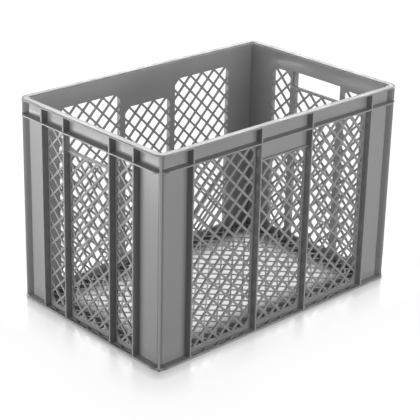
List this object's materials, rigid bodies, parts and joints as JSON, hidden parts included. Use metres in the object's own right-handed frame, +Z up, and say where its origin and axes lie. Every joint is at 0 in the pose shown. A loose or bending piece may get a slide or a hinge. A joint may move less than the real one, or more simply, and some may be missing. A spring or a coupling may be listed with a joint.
{
  "type": "plastic produce crate",
  "caption": "Open-topped stacking crate in grey plastic, with diamond-mesh walls and base, upright ribs, a channel rim and a hand hole in each end.",
  "frame": {"origin": "middle of the footprint, on the floor", "axes": "+X along the length, +Y across the width towards the rear long wall, +Z up out of the open top"},
  "size_m": [0.6, 0.4, 0.4],
  "materials": {
    "crate_plastic": "satin moulded polypropylene, mid grey"
  },
  "bodies": {
    "root": {"base_grid": "crate_plastic", "corner_post_front_left": "crate_plastic", "corner_post_front_right": "crate_plastic", "corner_post_rear_left": "crate_plastic", "corner_post_rear_right": "crate_plastic", "foot_corner_front_left": "crate_plastic", "foot_corner_front_right": "crate_plastic", "foot_corner_rear_left": "crate_plastic", "foot_corner_rear_right": "crate_plastic", "foot_ledge_front": "crate_plastic", "foot_ledge_left": "crate_plastic", "foot_ledge_rear": "crate_plastic", "foot_ledge_right": "crate_plastic", "hand_bar_left": "crate_plastic", "hand_bar_right": "crate_plastic", "label_ledge_front": "crate_plastic", "label_ledge_rear": "crate_plastic", "panel_front_left": "crate_plastic", "panel_front_middle": "crate_plastic", "panel_front_right": "crate_plastic", "panel_left_front": "crate_plastic", "panel_left_middle": "crate_plastic", "panel_left_rear": "crate_plastic", "panel_rear_left": "crate_plastic", "panel_rear_middle": "crate_plastic", "panel_rear_right": "crate_plastic", "panel_right_front": "crate_plastic", "panel_right_middle": "crate_plastic", "panel_right_rear": "crate_plastic", "rib_front_1": "crate_plastic", "rib_front_2": "crate_plastic", "rib_front_3": "crate_plastic", "rib_front_4": "crate_plastic", "rib_left_1": "crate_plastic", "rib_left_2": "crate_plastic", "rib_left_3": "crate_plastic", "rib_left_4": "crate_plastic", "rib_rear_1": "crate_plastic", "rib_rear_2": "crate_plastic", "rib_rear_3": "crate_plastic", "rib_rear_4": "crate_plastic", "rib_right_1": "crate_plastic", "rib_right_2": "crate_plastic", "rib_right_3": "crate_plastic", "rib_right_4": "crate_plastic", "rim_corner_front_left": "crate_plastic", "rim_corner_front_right": "crate_plastic", "rim_corner_rear_left": "crate_plastic", "rim_corner_rear_right": "crate_plastic", "rim_front": "crate_plastic", "rim_left": "crate_plastic", "rim_rear": "crate_plastic", "rim_right": "crate_plastic"}
  },
  "joints": []
}
